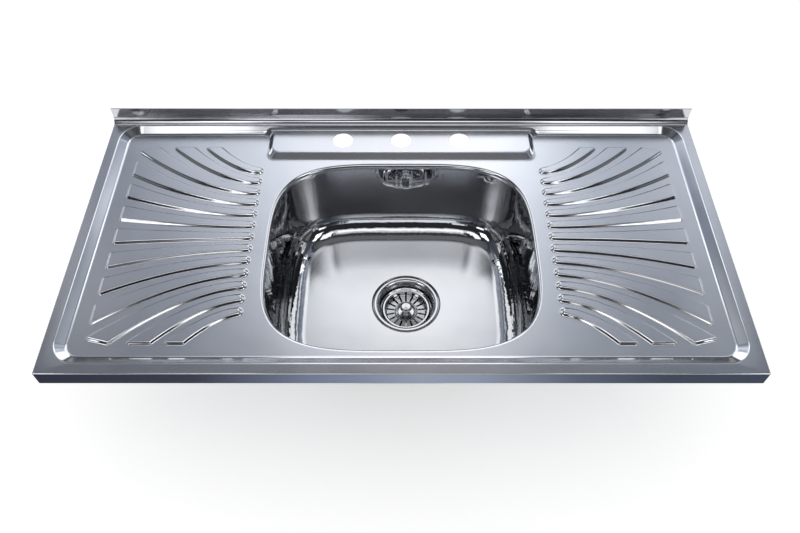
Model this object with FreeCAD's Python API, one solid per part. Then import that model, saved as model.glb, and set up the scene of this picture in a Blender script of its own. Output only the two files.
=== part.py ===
import FreeCAD, Part

import math
import os

from FreeCAD import Vector

# A lay-on kitchen sink: one pressed stainless panel with a drainboard each side of a deep-drawn
# bowl, a tap ledge, a rear upstand and folded aprons, with its basket strainer waste.
# Millimetres. The origin is the centre of the base unit's top, which carries the folded edges.
# X runs along the sink, Y towards the wall, Z up.

# ---- Panel -------------------------------------------------------------------------------
sheet = 0.8                   # thickness of the panel and of the bowl
panel_length = 1000.0
panel_depth = 500.0
apron_height = 28.0           # from the base unit up to the rim
return_width = 18.0           # flange turned in under the aprons
upstand_height = 28.0         # above the rim
upstand_bend = 10.0           # concave radius at the upstand's foot
upstand_hem = 10.0            # edge folded back down behind the upstand
side_rim = 17.0               # flat rim beside the drained field
front_rim = 16.0
rear_rim = 13.0
field_drop = 8.5              # the drained field lies this far below the rim
swage_run = 14.5              # width of the slope between rim and field
recess_corner = 36.0          # plan radius at the top of that slope

# ---- Tap ledge ---------------------------------------------------------------------------
ledge_drop = 3.7              # below the rim
ledge_half = 220.0
ledge_front_y = 176.0
ledge_front_run = 15.0        # width of the ledge's front slope
ledge_end_run = 6.0
ledge_corner = 14.0           # plan radius of its front corners
ledge_flare = 14.0            # plan radius where its ends run out into the rear slope
tap_bore = 35.0               # diameter
tap_pitch = 100.0
tap_count = 3
tap_y = 204.0

# ---- Drainer ribs ------------------------------------------------------------------------
ribs_each_way = 6             # ribs in front of and behind the middle one
rib_height = 4.0
rib_flank = 2.0               # width of a rib's sloping flank
rib_nose = 5.5                # length of its round narrow end
nose_setback = 7.0            # from the fan's start to where that round end begins
fan_bowl_gap = 25.0           # from the bowl opening to the ribs' narrow ends
fan_side_gap = 25.5           # from their wide ends to the side slope
fan_rear_gap = 33.5           # from the outer ribs' cut ends to the rear slope
fan_front_gap = 21.5          # and to the front slope
fan_axis_y = -4.9             # middle of the fan
tip_pitch = 23.3
tip_half = 0.25               # half a rib's narrow end, in pitches
spread_half = 0.33            # half of its share of the spread
fan_spread = 24.2             # how far one pitch opens over the fan's length
fan_flare = 6.5               # ribs beyond this one open twice as fast
fan_power = 1.75
rib_stations = 9              # points along each curved edge

# ---- Bowl --------------------------------------------------------------------------------
bowl_half_x = 205.0
bowl_half_y = 177.5
bowl_y = -29.0
drain_x = 8.4                 # the waste stands a little right of the middle
drain_y = -31.0
bowl_corner = 104.0           # plan radius of the opening
roll_radius = 5.5             # rolled edge between field and bowl
collar_height = 3.0           # straight collar under the roll, down to the weld
bowl_depth = 146.0            # from field to floor
wall_draft = 4.5              # degrees
floor_fillet = 40.0           # radius between wall and floor
seat_depth = 3.0              # pressed seat that takes the waste's flange
seat_slope = 1.0

# ---- Waste -------------------------------------------------------------------------------
waste_sheet = 0.8
flange_radius = 57.0
flange_inner = 47.5
flange_clearance = 0.5        # between the flange's edge and the seat's slope
throat_radius = 44.0          # top of the cone that seats the basket
throat_depth = 16.9
cone_inner = 38.5
cone_depth = 3.0
cup_radius = 37.5
cup_depth = 34.0
cup_holes = 8
cup_hole_bore = 11.0
cup_hole_circle = 21.0
bowl_hole_gap = 0.5           # between the waste and the hole in the bowl
flange_seal_height = 1.6
body_seal_height = 2.0
seal_width = 7.5
body_wall = 2.8
body_gap = 1.6                # between the steel cup and the plastic body
body_flange_height = 4.0
body_base_gap = 4.0           # under the steel cup
body_cone_height = 10.0
outlet_radius = 23.9          # male thread for a 1 1/2 inch trap
outlet_wall = 3.9
outlet_length = 34.0
hub_radius = 9.0
hub_height = 11.0
hub_arms = 3
arm_width = 3.0
insert_radius = 6.0
screw_radius = 3.0
screw_head_radius = 7.0
screw_head_height = 4.0
thread_gap = 0.05

# ---- Strainer basket ---------------------------------------------------------------------
basket_sheet = 0.7
basket_radius = 39.8          # edge of its lip
basket_lip_width = 3.2
basket_lip_depth = 15.5       # lip below the waste's flange
basket_wall_radius = 35.4
basket_depth = 10.5           # from lip to the outer edge of its floor
basket_ring_inner = 19.5
basket_centre_rise = 1.0
basket_centre_radius = 13.0
basket_slots = 18
slot_width = 3.2
floor_slot_inner = 21.0
floor_slot_outer = 32.5
side_slot_height = 4.5
basket_seal_height = 3.4
running_gap = 0.3             # between pieces that move against each other
spindle_radius = 2.5
spindle_gap = 0.8
knob_cap_radius = 10.5
knob_neck_radius = 5.0
knob_base_radius = 6.0
knob_height = 15.8
knob_socket = 13.0            # how deep the spindle goes into the knob
clip_radius = 7.0
clip_height = 1.0
spindle_tail = 1.5            # spindle below the clip

# ---- Underneath --------------------------------------------------------------------------
stiffener_sheet = 1.2
stiffener_depth = 12.0
stiffener_foot = 12.0         # spot-welded foot each side
stiffener_top = 20.0          # width of its web
stiffener_slope = 3.0
stiffener_bowl_gap = 80.0     # from the bowl opening to the middle of the inner stiffener
stiffener_side_gap = 75.0     # from the outer stiffener's middle to the side slope
stiffener_margin = 8.0        # from its ends to the foot of the slopes
pad_thickness = 3.0
floor_pad_length = 250.0
floor_pad_width = 200.0
floor_pad_gap = 4.0           # round the waste body
wall_pad_height = 60.0
wall_pad_margin = 16.0        # inside the straight stretch of each wall
bracket_sheet = 1.5
bracket_width = 24.0
bracket_grip = 12.0           # lap on the return flange
bracket_drop = 32.0
bracket_gap = 0.3
bracket_y = 150.0             # brackets lie this far in front of and behind the middle
slot_length = 14.0
slot_half_width = 2.5
slot_drop = 18.0              # slot's middle below the base unit's top
fixing_radius = 2.0
fixing_length = 16.0
fixing_head_radius = 4.0
fixing_head_height = 2.5

# ---- Levels and places worked out from the sizes -----------------------------------------
half_length = panel_length / 2
half_depth = panel_depth / 2
rim_z = apron_height
field_z = rim_z - field_drop
ledge_z = rim_z - ledge_drop
recess_half_x = half_length - side_rim
recess_front_y = -half_depth + front_rim
recess_rear_y = half_depth - rear_rim
recess_half_y = (recess_rear_y - recess_front_y) / 2
recess_y = (recess_rear_y + recess_front_y) / 2
fan_start_x = bowl_half_x + fan_bowl_gap
fan_end_x = recess_half_x - swage_run - fan_side_gap
fan_rear_y = recess_rear_y - swage_run - fan_rear_gap
fan_front_y = recess_front_y + swage_run + fan_front_gap
stiffener_xs = (bowl_half_x + stiffener_bowl_gap, recess_half_x - swage_run - stiffener_side_gap)
weld_z = field_z - roll_radius - collar_height
floor_z = field_z - bowl_depth
seat_z = floor_z - seat_depth
flange_z = seat_z + flange_seal_height + waste_sheet
body_z = seat_z - sheet - body_seal_height
basket_lip_z = flange_z - basket_lip_depth
basket_floor_z = basket_lip_z - basket_depth
basket_centre_z = basket_floor_z + basket_centre_rise
cup_floor_z = flange_z - cup_depth
overrun = 5.0                 # cutting bodies run this far past what they cut


# ---- Shared helpers ----------------------------------------------------------------------
def box(x0, x1, y0, y1, z0, z1):
    return Part.makeBox(x1 - x0, y1 - y0, z1 - z0, Vector(x0, y0, z0))


def tube(outer, inner, z0, z1):
    """Upright ring about the Z axis; a plain disc when inner is 0."""
    ring_body = Part.makeCylinder(outer, z1 - z0, Vector(0, 0, z0))
    if inner > 0:
        ring_body = ring_body.cut(Part.makeCylinder(inner, z1 - z0, Vector(0, 0, z0)))
    return ring_body


def arc(start, middle, end):
    return Part.Arc(start, middle, end).toShape()


def rounded_rectangle(half_x, half_y, radius, centre_y, z):
    """Closed wire: straight sides joined by quarter circles."""
    edges = []
    centres = [(half_x - radius, half_y - radius), (radius - half_x, half_y - radius),
               (radius - half_x, radius - half_y), (half_x - radius, radius - half_y)]
    spots = []
    for turn, (cx, cy) in enumerate(centres):
        angles = [math.radians(90 * turn + step) for step in (0, 45, 90)]
        spots.append([Vector(cx + radius * math.cos(a), centre_y + cy + radius * math.sin(a), z)
                      for a in angles])
    for turn in range(4):
        edges.append(arc(*spots[turn]))
        edges.append(Part.makeLine(spots[turn][2], spots[(turn + 1) % 4][0]))
    return Part.Wire(edges)


def prism(wire, height):
    return Part.Face(wire).extrude(Vector(0, 0, height))


def band(path, thickness):
    """Closed outline of a sheet that follows path and lies on its left by thickness."""
    normals = []
    for (r0, z0), (r1, z1) in zip(path, path[1:]):
        length = math.hypot(r1 - r0, z1 - z0)
        normals.append(((z0 - z1) / length, (r1 - r0) / length))
    far = []
    for i, (r, z) in enumerate(path):
        before = normals[max(i - 1, 0)]
        after = normals[min(i, len(normals) - 1)]
        share = 1 + before[0] * after[0] + before[1] * after[1]
        far.append((r + thickness * (before[0] + after[0]) / share,
                    z + thickness * (before[1] + after[1]) / share))
    return path + far[::-1]


def profile(points):
    """Face in the XZ plane from points (x, z)."""
    corners = [Vector(x, 0, z) for x, z in points]
    return Part.Face(Part.makePolygon(corners + corners[:1]))


def turned(points):
    """Body turned about the Z axis from its half section (radius, z)."""
    return profile(points).revolve(Vector(0, 0, 0), Vector(0, 0, 1), 360)


def carried_round(face, half_x, half_y, radius, centre_y):
    """Carries a section round a rounded rectangle.

    In the face X is measured outward from a corner's centre, so X = radius is on the line.
    """
    centres = [Vector(half_x - radius, centre_y + half_y - radius, 0),
               Vector(radius - half_x, centre_y + half_y - radius, 0),
               Vector(radius - half_x, centre_y + radius - half_y, 0),
               Vector(half_x - radius, centre_y + radius - half_y, 0)]
    pieces = []
    for turn, centre in enumerate(centres):
        section = face.copy()
        section.rotate(Vector(0, 0, 0), Vector(0, 0, 1), 90 * turn)
        section.translate(centre)
        pieces.append(section.revolve(centre, Vector(0, 0, 1), 90))
        pieces.append(section.extrude(centres[turn - 1] - centre))
    return pieces[0].multiFuse(pieces[1:]).removeSplitter()


def at_drain(body):
    """Moves a body turned about the Z axis to the bowl's drain."""
    body.translate(Vector(drain_x, drain_y, 0))
    return body


def save(name, shape):
    shape.exportStep("parts/" + name + ".step")
    print(name, len(shape.Solids), shape.isValid(), round(shape.Volume))


# ---- Panel -------------------------------------------------------------------------------
def fan_y(tip_place, spread_place, along):
    """Y of an edge of the fan; places count pitches from its middle, along runs from 0 to 1."""
    opening = 1 + (spread_place / fan_flare) ** 4
    return fan_axis_y + tip_pitch * tip_place + fan_spread * spread_place * opening * along ** fan_power


def rib_edge(index, side, widen, z):
    """One curved edge of a rib of the right-hand fan, moved outward by widen."""
    run = fan_end_x - fan_start_x
    tip_place = index + side * tip_half
    spread_place = index + side * spread_half

    def height(along):
        return fan_y(tip_place, spread_place, along)

    first = nose_setback / run
    last = 1.0
    while not fan_front_y <= height(last) <= fan_rear_y:
        last -= 0.001
    points = []
    for i in range(rib_stations):
        along = first + (last - first) * i / (rib_stations - 1)
        step = 0.001
        slope = (height(along + step) - height(along)) / (step * run)
        stretch = math.hypot(1, slope)
        x = fan_start_x + along * run
        y = height(along)
        if i == rib_stations - 1:
            x += widen / stretch
            y += widen * slope / stretch
        points.append(Vector(x - side * widen * slope / stretch, y + side * widen / stretch, z))
    return points


def rib_outline(index, widen, z):
    rear = rib_edge(index, 1, widen, z)
    front = rib_edge(index, -1, widen, z)
    rear_curve = Part.BSplineCurve()
    rear_curve.interpolate(rear)
    front_curve = Part.BSplineCurve()
    front_curve.interpolate(front[::-1])
    nose = Vector(min(rear[0].x, front[0].x) - rib_nose - widen, (rear[0].y + front[0].y) / 2, z)
    return Part.Wire([rear_curve.toShape(), Part.makeLine(rear[-1], front[-1]),
                      front_curve.toShape(), arc(front[0], nose, rear[0])])


def drainer_ribs():
    """Raised tapering ribs of both drainboards, from the field up."""
    ribs = []
    mirror = FreeCAD.Matrix()
    mirror.scale(-1, 1, 1)
    for index in range(-ribs_each_way, ribs_each_way + 1):
        rib = Part.makeLoft([rib_outline(index, rib_flank, field_z),
                             rib_outline(index, 0, field_z + rib_height)], True, True)
        ribs.append(rib)
        ribs.append(rib.transformGeometry(mirror))
    return ribs


def ledge_outline(half, front_y, contour_y, z):
    """Outline of the tap ledge: round front corners, ends that run out along the rear slope."""
    back_y = recess_rear_y + overrun
    edges = []
    for side in (1, -1):
        spots = [Vector(side * (half + ledge_flare), back_y, z),
                 Vector(side * (half + ledge_flare), contour_y, z),
                 Vector(side * (half + ledge_flare * (1 - math.sqrt(0.5))),
                        contour_y - ledge_flare * (1 - math.sqrt(0.5)), z),
                 Vector(side * half, contour_y - ledge_flare, z),
                 Vector(side * half, front_y + ledge_corner, z),
                 Vector(side * (half - ledge_corner * (1 - math.sqrt(0.5))),
                        front_y + ledge_corner * (1 - math.sqrt(0.5)), z),
                 Vector(side * (half - ledge_corner), front_y, z)]
        one_side = [Part.makeLine(spots[0], spots[1]), arc(spots[1], spots[2], spots[3]),
                    Part.makeLine(spots[3], spots[4]), arc(spots[4], spots[5], spots[6])]
        edges.append((one_side, spots))
    right, right_spots = edges[0]
    left, left_spots = edges[1]
    loop = right + [Part.makeLine(right_spots[-1], left_spots[-1])] + left[::-1]
    loop.append(Part.makeLine(left_spots[0], right_spots[0]))
    return Part.Wire(Part.sortEdges(loop)[0])


def tap_ledge():
    rise = field_drop - ledge_drop
    slope = swage_run / field_drop
    foot = ledge_outline(ledge_half + ledge_end_run, ledge_front_y - ledge_front_run,
                         recess_rear_y - swage_run, field_z)
    top = ledge_outline(ledge_half, ledge_front_y,
                        recess_rear_y - swage_run + rise * slope, ledge_z)
    return Part.makeLoft([foot, top], True, True)


def drained_recess():
    """Tapered pocket between the rim and the field."""
    extra = overrun * swage_run / field_drop
    foot = rounded_rectangle(recess_half_x - swage_run, recess_half_y - swage_run,
                             recess_corner - swage_run, recess_y, field_z)
    top = rounded_rectangle(recess_half_x + extra, recess_half_y + extra,
                            recess_corner + extra, recess_y, rim_z + overrun)
    return Part.makeLoft([foot, top], True, True)


def pressed_form(edge_inset, drop, bottom, rear_y):
    """Everything below the panel's pressed surface, lowered by drop."""
    form = box(edge_inset - half_length, half_length - edge_inset, edge_inset - half_depth, rear_y,
               bottom + drop, rim_z)
    form = form.cut(drained_recess())
    form = form.multiFuse([tap_ledge()] + drainer_ribs())
    form.translate(Vector(0, 0, -drop))
    return form


def upstand():
    """Rear edge: a concave bend, the upright sheet and its hem folded flat behind it."""
    front_y = half_depth - 2 * sheet
    bend_y = front_y - upstand_bend
    bend_z = rim_z + upstand_bend
    top_z = rim_z + upstand_height
    half = math.sqrt(0.5)
    outer = upstand_bend + sheet

    def spot(y, z):
        return Vector(-half_length, y, z)

    edges = [arc(spot(bend_y, rim_z), spot(bend_y + upstand_bend * half, bend_z - upstand_bend * half),
                 spot(front_y, bend_z)),
             Part.makeLine(spot(front_y, bend_z), spot(front_y, top_z)),
             Part.makeLine(spot(front_y, top_z), spot(half_depth, top_z)),
             Part.makeLine(spot(half_depth, top_z), spot(half_depth, top_z - upstand_hem)),
             Part.makeLine(spot(half_depth, top_z - upstand_hem),
                           spot(front_y + sheet, top_z - upstand_hem)),
             Part.makeLine(spot(front_y + sheet, top_z - upstand_hem), spot(front_y + sheet, bend_z)),
             arc(spot(front_y + sheet, bend_z), spot(bend_y + outer * half, bend_z - outer * half),
                 spot(bend_y, rim_z - sheet)),
             Part.makeLine(spot(bend_y, rim_z - sheet), spot(bend_y, rim_z))]
    return Part.Face(Part.Wire(edges)).extrude(Vector(panel_length, 0, 0)), bend_y


def rolled_edge():
    """Rolled edge and collar round the bowl opening."""
    roll_z = field_z - roll_radius
    line = bowl_corner
    half = math.sqrt(0.5)
    inner = roll_radius - sheet

    def spot(outward, z):
        return Vector(line + outward, 0, z)

    edges = [arc(spot(roll_radius, field_z),
                 spot(roll_radius * (1 - half), roll_z + roll_radius * half), spot(0, roll_z)),
             Part.makeLine(spot(0, roll_z), spot(0, weld_z)),
             Part.makeLine(spot(0, weld_z), spot(sheet, weld_z)),
             Part.makeLine(spot(sheet, weld_z), spot(sheet, roll_z)),
             arc(spot(sheet, roll_z), spot(roll_radius - inner * half, roll_z + inner * half),
                 spot(roll_radius, field_z - sheet)),
             Part.makeLine(spot(roll_radius, field_z - sheet), spot(roll_radius, field_z))]
    return carried_round(Part.Face(Part.Wire(edges)), bowl_half_x, bowl_half_y, bowl_corner, bowl_y)


def drainboard_panel():
    rear, bend_y = upstand()
    panel = pressed_form(0, 0, 0, bend_y)
    panel = panel.cut(pressed_form(sheet, sheet, -overrun, bend_y + overrun))
    opening = rounded_rectangle(bowl_half_x + roll_radius, bowl_half_y + roll_radius,
                                bowl_corner + roll_radius, bowl_y, field_z - overrun)
    panel = panel.cut(prism(opening, 2 * overrun))
    for i in range(tap_count):
        x = (i - (tap_count - 1) / 2) * tap_pitch
        panel = panel.cut(Part.makeCylinder(tap_bore / 2, 2 * overrun,
                                            Vector(x, tap_y, ledge_z - overrun)))
    edges = [box(-half_length, half_length, -half_depth, return_width - half_depth, 0, sheet)]
    for x in (-half_length, half_length - return_width):
        edges.append(box(x, x + return_width, -half_depth, half_depth - sheet, 0, sheet))
    for x in (-half_length, half_length - sheet):
        edges.append(box(x, x + sheet, bend_y, half_depth - sheet, 0, rim_z - sheet))
    return panel.multiFuse([rear, rolled_edge()] + edges).removeSplitter()


# ---- Bowl --------------------------------------------------------------------------------
draft = math.radians(wall_draft)
wall_end_z = floor_z + floor_fillet * (1 - math.sin(draft))
wall_end_inset = (weld_z - wall_end_z) * math.tan(draft)
floor_inset = wall_end_inset + floor_fillet * math.cos(draft)
bowl_hole_radius = flange_inner + bowl_hole_gap


def wall_section():
    """Section through a bowl wall and the fillet at its foot."""
    centre_x = bowl_corner - floor_inset
    centre_z = floor_z + floor_fillet

    def on_arc(radius, angle):
        return Vector(centre_x + radius * math.cos(angle), 0, centre_z + radius * math.sin(angle))

    outer = floor_fillet + sheet
    top_inner = Vector(bowl_corner, 0, weld_z)
    top_outer = Vector(bowl_corner + sheet / math.cos(draft), 0, weld_z)
    edges = [Part.makeLine(top_inner, on_arc(floor_fillet, -draft)),
             arc(on_arc(floor_fillet, -draft), on_arc(floor_fillet, (-draft - math.pi / 2) / 2),
                 on_arc(floor_fillet, -math.pi / 2)),
             Part.makeLine(on_arc(floor_fillet, -math.pi / 2), on_arc(outer, -math.pi / 2)),
             arc(on_arc(outer, -math.pi / 2), on_arc(outer, (-draft - math.pi / 2) / 2),
                 on_arc(outer, -draft)),
             Part.makeLine(on_arc(outer, -draft), top_outer),
             Part.makeLine(top_outer, top_inner)]
    return Part.Face(Part.Wire(edges))


def bowl():
    walls = carried_round(wall_section(), bowl_half_x, bowl_half_y, bowl_corner, bowl_y)
    floor = prism(rounded_rectangle(bowl_half_x - floor_inset, bowl_half_y - floor_inset,
                                    bowl_corner - floor_inset, bowl_y, floor_z - sheet), sheet)
    seat_outer = flange_radius + flange_clearance + seat_slope
    floor = floor.cut(at_drain(tube(seat_outer, 0, floor_z - sheet - overrun, floor_z + overrun)))
    seat = at_drain(turned(band([(seat_outer, floor_z), (flange_radius + flange_clearance, seat_z),
                                 (bowl_hole_radius, seat_z)], sheet)))
    return walls.multiFuse([floor, seat]).removeSplitter()


# ---- Underneath --------------------------------------------------------------------------
def stiffener(x, side):
    """Hat-section channel spot-welded across the underside of a drainboard."""
    top = field_z - sheet
    web = stiffener_top / 2
    shoulder = web + stiffener_slope
    toe = shoulder + stiffener_foot
    line = [(toe, top), (shoulder, top), (web, top - stiffener_depth),
            (-web, top - stiffener_depth), (-shoulder, top), (-toe, top)]
    hat = profile(band(line, stiffener_sheet))
    rear_y = recess_rear_y - swage_run - stiffener_margin
    front_y = recess_front_y + swage_run + stiffener_margin
    hat = hat.extrude(Vector(0, rear_y - front_y, 0))
    hat.translate(Vector(side * x, front_y, 0))
    return hat


def floor_pad():
    """Sound-damping pad stuck under the bowl's floor, round the waste."""
    top = floor_z - sheet
    pad = box(-floor_pad_length / 2, floor_pad_length / 2, drain_y - floor_pad_width / 2,
              drain_y + floor_pad_width / 2, top - pad_thickness, top)
    return pad.cut(at_drain(tube(flange_radius + flange_clearance + seat_slope + floor_pad_gap, 0,
                                 top - 2 * pad_thickness, top + overrun)))


def wall_pad(turn):
    """Damping pad on the outside of one wall; turn 0 is the right-hand wall, 1 the rear one."""
    across = bowl_half_x if turn % 2 == 0 else bowl_half_y
    straight = (bowl_half_y if turn % 2 == 0 else bowl_half_x) - bowl_corner
    width = 2 * (straight - wall_pad_margin)
    middle_z = (weld_z + wall_end_z) / 2
    pad = box(0, pad_thickness, -width / 2, width / 2, -wall_pad_height / 2, wall_pad_height / 2)
    pad.rotate(Vector(0, 0, 0), Vector(0, 1, 0), wall_draft)
    outward = across - (weld_z - middle_z) * math.tan(draft) + sheet / math.cos(draft)
    pad.translate(Vector(outward, 0, middle_z))
    pad.rotate(Vector(0, 0, 0), Vector(0, 0, 1), 90 * turn)
    pad.translate(Vector(0, bowl_y, 0))
    return pad


def fixing_places():
    """Turn about Z and place along Y of each fixing bracket, with its name."""
    places = []
    for side_name, turn in (("left", 180), ("right", 0)):
        for end_name, y in (("front", -bracket_y), ("rear", bracket_y)):
            places.append((end_name + "_" + side_name, turn, y))
    return places


def place_fixing(body, turn, y):
    body.rotate(Vector(0, 0, 0), Vector(0, 0, 1), turn)
    body.translate(Vector(0, y, 0))
    return body


flange_edge_x = half_length - return_width
leg_x = flange_edge_x - bracket_gap - bracket_sheet


def fixing_bracket():
    """Steel angle on the right-hand return flange, with an upright slot for a wood screw."""
    half_width = bracket_width / 2
    lap = box(leg_x, flange_edge_x + bracket_grip, -half_width, half_width,
              sheet, sheet + bracket_sheet)
    leg = box(leg_x, leg_x + bracket_sheet, -half_width, half_width,
              -bracket_drop, sheet + bracket_sheet)
    straight = slot_length / 2 - slot_half_width
    slot = box(leg_x - overrun, leg_x + overrun, -slot_half_width, slot_half_width,
               -slot_drop - straight, -slot_drop + straight)
    ends = [Part.makeCylinder(slot_half_width, 2 * overrun,
                              Vector(leg_x - overrun, 0, z), Vector(1, 0, 0))
            for z in (-slot_drop - straight, -slot_drop + straight)]
    return lap.fuse(leg).cut(slot.multiFuse(ends)).removeSplitter()


def fixing_screw():
    """Pan-head wood screw lying through the bracket's slot."""
    shank = Part.makeCylinder(fixing_radius, fixing_length, Vector(leg_x, 0, -slot_drop),
                              Vector(1, 0, 0))
    head = Part.makeCone(fixing_head_radius / 2, fixing_head_radius, fixing_head_height,
                         Vector(leg_x - fixing_head_height, 0, -slot_drop), Vector(1, 0, 0))
    return head.fuse(shank)


# ---- Waste -------------------------------------------------------------------------------
def waste_flange():
    """Steel pressing clamped into the bowl: flange, throat, conical seat and cup."""
    cone_z = flange_z - throat_depth
    line = [(flange_radius, flange_z), (flange_inner, flange_z),
            (flange_inner - 2, flange_z - 2), (throat_radius, cone_z),
            (cone_inner, cone_z - cone_depth), (cup_radius, cup_floor_z),
            (screw_radius + thread_gap, cup_floor_z)]
    cup = turned(band(line, waste_sheet))
    for i in range(cup_holes):
        angle = 2 * math.pi * i / cup_holes
        spot = Vector(cup_hole_circle * math.cos(angle), cup_hole_circle * math.sin(angle),
                      cup_floor_z - overrun)
        cup = cup.cut(Part.makeCylinder(cup_hole_bore / 2, 2 * overrun, spot))
    return at_drain(cup)


def waste_body():
    """Moulded cup under the bowl, with the hub for the clamping screw and a threaded outlet."""
    inner = throat_radius + waste_sheet + body_gap
    outer = inner + body_wall
    cone_top = cup_floor_z - waste_sheet - body_base_gap
    cone_base = cone_top - body_cone_height
    outlet_base = cone_base - outlet_length
    bore = outlet_radius - outlet_wall
    shell = turned([(inner, body_z), (flange_radius, body_z),
                    (flange_radius, body_z - body_flange_height),
                    (outer, body_z - body_flange_height), (outer, cone_top - body_wall / 2),
                    (outlet_radius, cone_base - body_wall), (outlet_radius, outlet_base),
                    (bore, outlet_base), (bore, cone_base), (inner, cone_top)])
    hub_top = cone_top + body_base_gap - 1
    hub = tube(hub_radius, insert_radius, hub_top - hub_height, hub_top)
    arms = []
    for i in range(hub_arms):
        arm = box((hub_radius + insert_radius) / 2, (inner + outer) / 2, -arm_width / 2,
                  arm_width / 2, hub_top - hub_height, hub_top)
        arm.rotate(Vector(0, 0, 0), Vector(0, 0, 1), 360 * i / hub_arms)
        arms.append(arm)
    insert = tube(insert_radius, screw_radius + thread_gap, hub_top - hub_height, hub_top)
    return at_drain(shell.multiFuse([hub] + arms)), at_drain(insert), hub_top - hub_height


def clamp_screw(tip_z):
    shank = tube(screw_radius, 0, tip_z, cup_floor_z)
    head = tube(screw_head_radius, 0, cup_floor_z, cup_floor_z + screw_head_height)
    slot = box(-screw_head_radius, screw_head_radius, -thread_gap * 12, thread_gap * 12,
               cup_floor_z + screw_head_height / 2, cup_floor_z + 2 * screw_head_height)
    return at_drain(shank.fuse(head).cut(slot))


def flange_seal():
    return at_drain(tube(flange_radius - 1, flange_radius - 1 - seal_width, seat_z,
                         seat_z + flange_seal_height))


def body_seal():
    return at_drain(tube(flange_radius, flange_radius - seal_width, body_z,
                         body_z + body_seal_height))


# ---- Strainer basket ---------------------------------------------------------------------
def strainer_basket():
    """Slotted cup with a raised middle that hangs by its lip on the waste's conical seat."""
    wall = basket_wall_radius
    line = [(basket_radius, basket_lip_z), (basket_radius - basket_lip_width, basket_lip_z),
            (wall, basket_lip_z - 1.4), (wall - 0.8, basket_floor_z + 1.5),
            (wall - 2.4, basket_floor_z), (basket_ring_inner, basket_floor_z + 1.5),
            (basket_centre_radius, basket_centre_z), (spindle_radius + spindle_gap, basket_centre_z)]
    cup = turned(band(line, basket_sheet))
    cutters = []
    for i in range(basket_slots):
        floor_slot = box(floor_slot_inner, floor_slot_outer, -slot_width / 2, slot_width / 2,
                         basket_floor_z - overrun, basket_floor_z + overrun)
        side_slot = box(wall - overrun, wall + overrun, -slot_width / 2, slot_width / 2,
                        basket_floor_z + 3, basket_floor_z + 3 + side_slot_height)
        for cutter in (floor_slot, side_slot):
            cutter.rotate(Vector(0, 0, 0), Vector(0, 0, 1), 360 * (i + 0.5) / basket_slots)
            cutters.append(cutter)
    return at_drain(cup.cut(Part.makeCompound(cutters)))


def basket_seal():
    """Rubber ring under the basket's lip."""
    top = basket_lip_z - basket_sheet
    inner = basket_wall_radius + 1.4
    outer = basket_radius - 0.2
    return at_drain(turned([(inner, top), (outer, top), (outer, top - basket_seal_height + 0.7),
                            (outer - 1.4, top - basket_seal_height),
                            (inner, top - basket_seal_height)]))


def basket_knob():
    """Lifting knob: a broad round cap that narrows to a neck over the basket's middle."""
    base = basket_centre_z + running_gap
    top = base + knob_height
    knob = turned([(0, base), (knob_base_radius, base), (knob_base_radius, base + 1.2),
                   (knob_neck_radius, base + 3), (knob_neck_radius + 0.6, base + 6),
                   (knob_cap_radius - 1.5, top - 4.6), (knob_cap_radius, top - 3),
                   (knob_cap_radius, top - 1.8), (knob_cap_radius - 2.2, top - 0.5), (0, top)])
    return at_drain(knob.cut(tube(spindle_radius, 0, base - overrun, base + knob_socket)))


def basket_spindle():
    clip_z = basket_centre_z - basket_sheet - running_gap - clip_height
    return at_drain(tube(spindle_radius, 0, clip_z - spindle_tail,
                         basket_centre_z + running_gap + knob_socket))


def spindle_clip():
    top = basket_centre_z - basket_sheet - running_gap
    return at_drain(tube(clip_radius, spindle_radius, top - clip_height, top))


# ---- Build -------------------------------------------------------------------------------
os.makedirs("parts", exist_ok=True)
save("drainboard_panel", drainboard_panel())
save("bowl", bowl())
for side_name, side in (("left", -1), ("right", 1)):
    for place_name, x in zip(("inner", "outer"), stiffener_xs):
        save(side_name + "_" + place_name + "_stiffener", stiffener(x, side))
save("floor_damping_pad", floor_pad())
for turn, side_name in enumerate(("right", "rear", "left", "front")):
    save(side_name + "_damping_pad", wall_pad(turn))
for name, turn, y in fixing_places():
    save(name + "_bracket", place_fixing(fixing_bracket(), turn, y))
save("fixing_screws", Part.makeCompound([place_fixing(fixing_screw(), turn, y)
                                         for name, turn, y in fixing_places()]))
body, insert, insert_base_z = waste_body()
save("waste_flange", waste_flange())
save("waste_body", body)
save("thread_insert", insert)
save("clamp_screw", clamp_screw(insert_base_z))
save("flange_seal", flange_seal())
save("body_seal", body_seal())
save("strainer_basket", strainer_basket())
save("basket_seal", basket_seal())
save("basket_knob", basket_knob())
save("basket_spindle", basket_spindle())
save("spindle_clip", spindle_clip())
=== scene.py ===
import math

import bpy
import numpy as np
from mathutils import Matrix, Vector
from mathutils.geometry import delaunay_2d_cdt


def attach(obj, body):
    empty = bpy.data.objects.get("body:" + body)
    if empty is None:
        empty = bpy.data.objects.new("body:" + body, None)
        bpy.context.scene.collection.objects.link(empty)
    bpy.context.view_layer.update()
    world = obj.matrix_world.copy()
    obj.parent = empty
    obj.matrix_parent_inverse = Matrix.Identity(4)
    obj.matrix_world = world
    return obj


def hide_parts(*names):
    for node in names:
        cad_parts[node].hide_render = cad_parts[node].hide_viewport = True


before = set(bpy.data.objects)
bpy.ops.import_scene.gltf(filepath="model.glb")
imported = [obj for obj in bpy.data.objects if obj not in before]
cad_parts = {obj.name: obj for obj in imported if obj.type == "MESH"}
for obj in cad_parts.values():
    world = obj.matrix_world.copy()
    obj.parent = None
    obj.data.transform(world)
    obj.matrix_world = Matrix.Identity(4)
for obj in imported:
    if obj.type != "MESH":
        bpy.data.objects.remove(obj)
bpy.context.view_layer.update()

# A lay-on stainless kitchen sink. Shapes are worked out in millimetres, in the frame of the
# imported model, and turned to metres when the mesh is made.
MM = 0.001
WELD = 0.003              # points nearer than this are one point
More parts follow.
